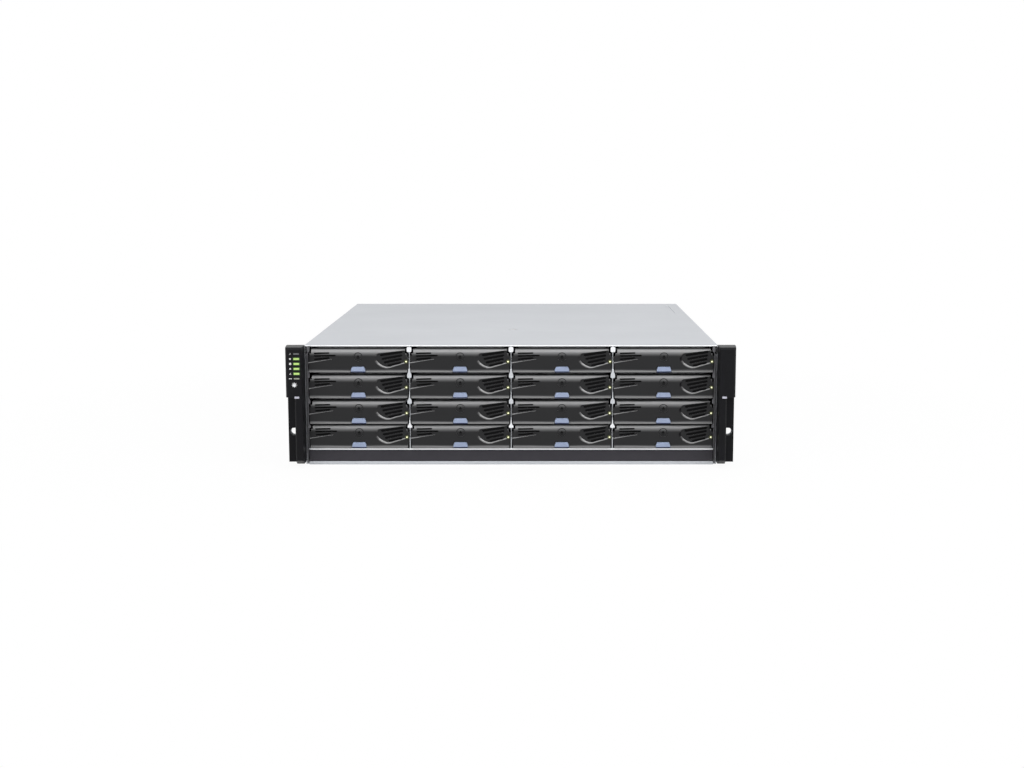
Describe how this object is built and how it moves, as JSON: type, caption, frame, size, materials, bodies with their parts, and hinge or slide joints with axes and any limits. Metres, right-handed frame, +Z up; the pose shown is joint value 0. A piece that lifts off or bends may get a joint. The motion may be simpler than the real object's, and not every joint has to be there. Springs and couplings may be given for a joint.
{
  "type": "rack disk shelf",
  "caption": "Rack disk shelf with hot-swap drive trays behind hinged flaps, dark ear covers with status lamps, and rear power and interface modules.",
  "frame": {"origin": "centre of the bounding box, at the underside of the chassis", "axes": "+X to the right as seen from the front, +Y from front to rear, +Z up"},
  "size_m": [0.4826, 0.5586, 0.131],
  "materials": {
    "chassis_steel": "zinc-plated sheet, satin",
    "cover_paint": "zinc-plated sheet, satin",
    "cage_steel": "zinc-plated sheet, satin",
    "module_steel": "zinc-plated sheet, satin",
    "drive_metal": "cast and sheet metal",
    "bezel_plastic": "moulded, fine texture",
    "button_plastic": "moulded, smooth",
    "ear_plastic": "moulded, fine texture",
    "dark_paint": "semi-matt paint",
    "board_laminate": "circuit board",
    "pale_plastic": "moulded, smooth"
  },
  "bodies": {
    "shelf": {"chassis_pan": "chassis_steel", "top_cover": "cover_paint", "drive_cage": "cage_steel", "midplane": "board_laminate", "front_sill": "dark_paint", "left_ear_cover": "ear_plastic", "right_ear_cover": "ear_plastic"},
    "tray_r1c1": {"drive_tray_r1c1": "drive_metal"},
    "flap_r1c1": {"tray_flap_r1c1": "bezel_plastic"},
    "latch_r1c1": {"release_button_r1c1": "button_plastic"},
    "tray_r1c2": {"drive_tray_r1c2": "drive_metal"},
    "flap_r1c2": {"tray_flap_r1c2": "bezel_plastic"},
    "latch_r1c2": {"release_button_r1c2": "button_plastic"},
    "tray_r1c3": {"drive_tray_r1c3": "drive_metal"},
    "flap_r1c3": {"tray_flap_r1c3": "bezel_plastic"},
    "latch_r1c3": {"release_button_r1c3": "button_plastic"},
    "tray_r1c4": {"drive_tray_r1c4": "drive_metal"},
    "flap_r1c4": {"tray_flap_r1c4": "bezel_plastic"},
    "latch_r1c4": {"release_button_r1c4": "button_plastic"},
    "tray_r2c1": {"drive_tray_r2c1": "drive_metal"},
    "flap_r2c1": {"tray_flap_r2c1": "bezel_plastic"},
    "latch_r2c1": {"release_button_r2c1": "button_plastic"},
    "tray_r2c2": {"drive_tray_r2c2": "drive_metal"},
    "flap_r2c2": {"tray_flap_r2c2": "bezel_plastic"},
    "latch_r2c2": {"release_button_r2c2": "button_plastic"},
    "tray_r2c3": {"drive_tray_r2c3": "drive_metal"},
    "flap_r2c3": {"tray_flap_r2c3": "bezel_plastic"},
    "latch_r2c3": {"release_button_r2c3": "button_plastic"},
    "tray_r2c4": {"drive_tray_r2c4": "drive_metal"},
    "flap_r2c4": {"tray_flap_r2c4": "bezel_plastic"},
    "latch_r2c4": {"release_button_r2c4": "button_plastic"},
    "tray_r3c1": {"drive_tray_r3c1": "drive_metal"},
    "flap_r3c1": {"tray_flap_r3c1": "bezel_plastic"},
    "latch_r3c1": {"release_button_r3c1": "button_plastic"},
    "tray_r3c2": {"drive_tray_r3c2": "drive_metal"},
    "flap_r3c2": {"tray_flap_r3c2": "bezel_plastic"},
    "latch_r3c2": {"release_button_r3c2": "button_plastic"},
    "tray_r3c3": {"drive_tray_r3c3": "drive_metal"},
    "flap_r3c3": {"tray_flap_r3c3": "bezel_plastic"},
    "latch_r3c3": {"release_button_r3c3": "button_plastic"},
    "tray_r3c4": {"drive_tray_r3c4": "drive_metal"},
    "flap_r3c4": {"tray_flap_r3c4": "bezel_plastic"},
    "latch_r3c4": {"release_button_r3c4": "button_plastic"},
    "tray_r4c1": {"drive_tray_r4c1": "drive_metal"},
    "flap_r4c1": {"tray_flap_r4c1": "bezel_plastic"},
    "latch_r4c1": {"release_button_r4c1": "button_plastic"},
    "tray_r4c2": {"drive_tray_r4c2": "drive_metal"},
    "flap_r4c2": {"tray_flap_r4c2": "bezel_plastic"},
    "latch_r4c2": {"release_button_r4c2": "button_plastic"},
    "tray_r4c3": {"drive_tray_r4c3": "drive_metal"},
    "flap_r4c3": {"tray_flap_r4c3": "bezel_plastic"},
    "latch_r4c3": {"release_button_r4c3": "button_plastic"},
    "tray_r4c4": {"drive_tray_r4c4": "drive_metal"},
    "flap_r4c4": {"tray_flap_r4c4": "bezel_plastic"},
    "latch_r4c4": {"release_button_r4c4": "button_plastic"},
    "service_button": {"service_button": "pale_plastic"},
    "io_module_upper": {"io_module_upper": "module_steel"},
    "io_module_lower": {"io_module_lower": "module_steel"},
    "power_module_left": {"power_module_left": "module_steel"},
    "power_module_right": {"power_module_right": "module_steel"}
  },
  "joints": [
    {"name": "tray_slide_r1c1", "type": "slide", "parent": "shelf", "child": "tray_r1c1", "axis": [0, -1, 0], "range_m": [0, 0.13]},
    {"name": "flap_hinge_r1c1", "type": "hinge", "parent": "tray_r1c1", "child": "flap_r1c1", "pos_m": [-0.1647, -0.2511, 0.1222], "axis": [-1, 0, 0], "range_deg": [0, 60]},
    {"name": "release_press_r1c1", "type": "slide", "parent": "flap_r1c1", "child": "latch_r1c1", "axis": [0, 1, 0], "range_m": [0, 0.0025], "stiffness_N_per_m": 400},
    {"name": "tray_slide_r1c2", "type": "slide", "parent": "shelf", "child": "tray_r1c2", "axis": [0, -1, 0], "range_m": [0, 0.13]},
    {"name": "flap_hinge_r1c2", "type": "hinge", "parent": "tray_r1c2", "child": "flap_r1c2", "pos_m": [-0.0549, -0.2511, 0.1222], "axis": [-1, 0, 0], "range_deg": [0, 60]},
    {"name": "release_press_r1c2", "type": "slide", "parent": "flap_r1c2", "child": "latch_r1c2", "axis": [0, 1, 0], "range_m": [0, 0.0025], "stiffness_N_per_m": 400},
    {"name": "tray_slide_r1c3", "type": "slide", "parent": "shelf", "child": "tray_r1c3", "axis": [0, -1, 0], "range_m": [0, 0.13]},
    {"name": "flap_hinge_r1c3", "type": "hinge", "parent": "tray_r1c3", "child": "flap_r1c3", "pos_m": [0.0549, -0.2511, 0.1222], "axis": [-1, 0, 0], "range_deg": [0, 60]},
    {"name": "release_press_r1c3", "type": "slide", "parent": "flap_r1c3", "child": "latch_r1c3", "axis": [0, 1, 0], "range_m": [0, 0.0025], "stiffness_N_per_m": 400},
    {"name": "tray_slide_r1c4", "type": "slide", "parent": "shelf", "child": "tray_r1c4", "axis": [0, -1, 0], "range_m": [0, 0.13]},
    {"name": "flap_hinge_r1c4", "type": "hinge", "parent": "tray_r1c4", "child": "flap_r1c4", "pos_m": [0.1647, -0.2511, 0.1222], "axis": [-1, 0, 0], "range_deg": [0, 60]},
    {"name": "release_press_r1c4", "type": "slide", "parent": "flap_r1c4", "child": "latch_r1c4", "axis": [0, 1, 0], "range_m": [0, 0.0025], "stiffness_N_per_m": 400},
    {"name": "tray_slide_r2c1", "type": "slide", "parent": "shelf", "child": "tray_r2c1", "axis": [0, -1, 0], "range_m": [0, 0.13]},
    {"name": "flap_hinge_r2c1", "type": "hinge", "parent": "tray_r2c1", "child": "flap_r2c1", "pos_m": [-0.1647, -0.2511, 0.0941], "axis": [-1, 0, 0], "range_deg": [0, 60]},
    {"name": "release_press_r2c1", "type": "slide", "parent": "flap_r2c1", "child": "latch_r2c1", "axis": [0, 1, 0], "range_m": [0, 0.0025], "stiffness_N_per_m": 400},
    {"name": "tray_slide_r2c2", "type": "slide", "parent": "shelf", "child": "tray_r2c2", "axis": [0, -1, 0], "range_m": [0, 0.13]},
    {"name": "flap_hinge_r2c2", "type": "hinge", "parent": "tray_r2c2", "child": "flap_r2c2", "pos_m": [-0.0549, -0.2511, 0.0941], "axis": [-1, 0, 0], "range_deg": [0, 60]},
    {"name": "release_press_r2c2", "type": "slide", "parent": "flap_r2c2", "child": "latch_r2c2", "axis": [0, 1, 0], "range_m": [0, 0.0025], "stiffness_N_per_m": 400},
    {"name": "tray_slide_r2c3", "type": "slide", "parent": "shelf", "child": "tray_r2c3", "axis": [0, -1, 0], "range_m": [0, 0.13]},
    {"name": "flap_hinge_r2c3", "type": "hinge", "parent": "tray_r2c3", "child": "flap_r2c3", "pos_m": [0.0549, -0.2511, 0.0941], "axis": [-1, 0, 0], "range_deg": [0, 60]},
    {"name": "release_press_r2c3", "type": "slide", "parent": "flap_r2c3", "child": "latch_r2c3", "axis": [0, 1, 0], "range_m": [0, 0.0025], "stiffness_N_per_m": 400},
    {"name": "tray_slide_r2c4", "type": "slide", "parent": "shelf", "child": "tray_r2c4", "axis": [0, -1, 0], "range_m": [0, 0.13]},
    {"name": "flap_hinge_r2c4", "type": "hinge", "parent": "tray_r2c4", "child": "flap_r2c4", "pos_m": [0.1647, -0.2511, 0.0941], "axis": [-1, 0, 0], "range_deg": [0, 60]},
    {"name": "release_press_r2c4", "type": "slide", "parent": "flap_r2c4", "child": "latch_r2c4", "axis": [0, 1, 0], "range_m": [0, 0.0025], "stiffness_N_per_m": 400},
    {"name": "tray_slide_r3c1", "type": "slide", "parent": "shelf", "child": "tray_r3c1", "axis": [0, -1, 0], "range_m": [0, 0.13]},
    {"name": "flap_hinge_r3c1", "type": "hinge", "parent": "tray_r3c1", "child": "flap_r3c1", "pos_m": [-0.1647, -0.2511, 0.066], "axis": [-1, 0, 0], "range_deg": [0, 60]},
    {"name": "release_press_r3c1", "type": "slide", "parent": "flap_r3c1", "child": "latch_r3c1", "axis": [0, 1, 0], "range_m": [0, 0.0025], "stiffness_N_per_m": 400},
    {"name": "tray_slide_r3c2", "type": "slide", "parent": "shelf", "child": "tray_r3c2", "axis": [0, -1, 0], "range_m": [0, 0.13]},
    {"name": "flap_hinge_r3c2", "type": "hinge", "parent": "tray_r3c2", "child": "flap_r3c2", "pos_m": [-0.0549, -0.2511, 0.066], "axis": [-1, 0, 0], "range_deg": [0, 60]},
    {"name": "release_press_r3c2", "type": "slide", "parent": "flap_r3c2", "child": "latch_r3c2", "axis": [0, 1, 0], "range_m": [0, 0.0025], "stiffness_N_per_m": 400},
    {"name": "tray_slide_r3c3", "type": "slide", "parent": "shelf", "child": "tray_r3c3", "axis": [0, -1, 0], "range_m": [0, 0.13]},
    {"name": "flap_hinge_r3c3", "type": "hinge", "parent": "tray_r3c3", "child": "flap_r3c3", "pos_m": [0.0549, -0.2511, 0.066], "axis": [-1, 0, 0], "range_deg": [0, 60]},
    {"name": "release_press_r3c3", "type": "slide", "parent": "flap_r3c3", "child": "latch_r3c3", "axis": [0, 1, 0], "range_m": [0, 0.0025], "stiffness_N_per_m": 400},
    {"name": "tray_slide_r3c4", "type": "slide", "parent": "shelf", "child": "tray_r3c4", "axis": [0, -1, 0], "range_m": [0, 0.13]},
    {"name": "flap_hinge_r3c4", "type": "hinge", "parent": "tray_r3c4", "child": "flap_r3c4", "pos_m": [0.1647, -0.2511, 0.066], "axis": [-1, 0, 0], "range_deg": [0, 60]},
    {"name": "release_press_r3c4", "type": "slide", "parent": "flap_r3c4", "child": "latch_r3c4", "axis": [0, 1, 0], "range_m": [0, 0.0025], "stiffness_N_per_m": 400},
    {"name": "tray_slide_r4c1", "type": "slide", "parent": "shelf", "child": "tray_r4c1", "axis": [0, -1, 0], "range_m": [0, 0.13]},
    {"name": "flap_hinge_r4c1", "type": "hinge", "parent": "tray_r4c1", "child": "flap_r4c1", "pos_m": [-0.1647, -0.2511, 0.0396], "axis": [-1, 0, 0], "range_deg": [0, 60]},
    {"name": "release_press_r4c1", "type": "slide", "parent": "flap_r4c1", "child": "latch_r4c1", "axis": [0, 1, 0], "range_m": [0, 0.0025], "stiffness_N_per_m": 400},
    {"name": "tray_slide_r4c2", "type": "slide", "parent": "shelf", "child": "tray_r4c2", "axis": [0, -1, 0], "range_m": [0, 0.13]},
    {"name": "flap_hinge_r4c2", "type": "hinge", "parent": "tray_r4c2", "child": "flap_r4c2", "pos_m": [-0.0549, -0.2511, 0.0396], "axis": [-1, 0, 0], "range_deg": [0, 60]},
    {"name": "release_press_r4c2", "type": "slide", "parent": "flap_r4c2", "child": "latch_r4c2", "axis": [0, 1, 0], "range_m": [0, 0.0025], "stiffness_N_per_m": 400},
    {"name": "tray_slide_r4c3", "type": "slide", "parent": "shelf", "child": "tray_r4c3", "axis": [0, -1, 0], "range_m": [0, 0.13]},
    {"name": "flap_hinge_r4c3", "type": "hinge", "parent": "tray_r4c3", "child": "flap_r4c3", "pos_m": [0.0549, -0.2511, 0.0396], "axis": [-1, 0, 0], "range_deg": [0, 60]},
    {"name": "release_press_r4c3", "type": "slide", "parent": "flap_r4c3", "child": "latch_r4c3", "axis": [0, 1, 0], "range_m": [0, 0.0025], "stiffness_N_per_m": 400},
    {"name": "tray_slide_r4c4", "type": "slide", "parent": "shelf", "child": "tray_r4c4", "axis": [0, -1, 0], "range_m": [0, 0.13]},
    {"name": "flap_hinge_r4c4", "type": "hinge", "parent": "tray_r4c4", "child": "flap_r4c4", "pos_m": [0.1647, -0.2511, 0.0396], "axis": [-1, 0, 0], "range_deg": [0, 60]},
    {"name": "release_press_r4c4", "type": "slide", "parent": "flap_r4c4", "child": "latch_r4c4", "axis": [0, 1, 0], "range_m": [0, 0.0025], "stiffness_N_per_m": 400},
    {"name": "service_button_press", "type": "slide", "parent": "shelf", "child": "service_button", "axis": [0, 1, 0], "range_m": [0, 0.001], "stiffness_N_per_m": 500},
    {"name": "io_module_upper_slide", "type": "slide", "parent": "shelf", "child": "io_module_upper", "axis": [0, 1, 0], "range_m": [0, 0.3]},
    {"name": "io_module_lower_slide", "type": "slide", "parent": "shelf", "child": "io_module_lower", "axis": [0, 1, 0], "range_m": [0, 0.3]},
    {"name": "power_module_left_slide", "type": "slide", "parent": "shelf", "child": "power_module_left", "axis": [0, 1, 0], "range_m": [0, 0.3]},
    {"name": "power_module_right_slide", "type": "slide", "parent": "shelf", "child": "power_module_right", "axis": [0, 1, 0], "range_m": [0, 0.3]}
  ]
}
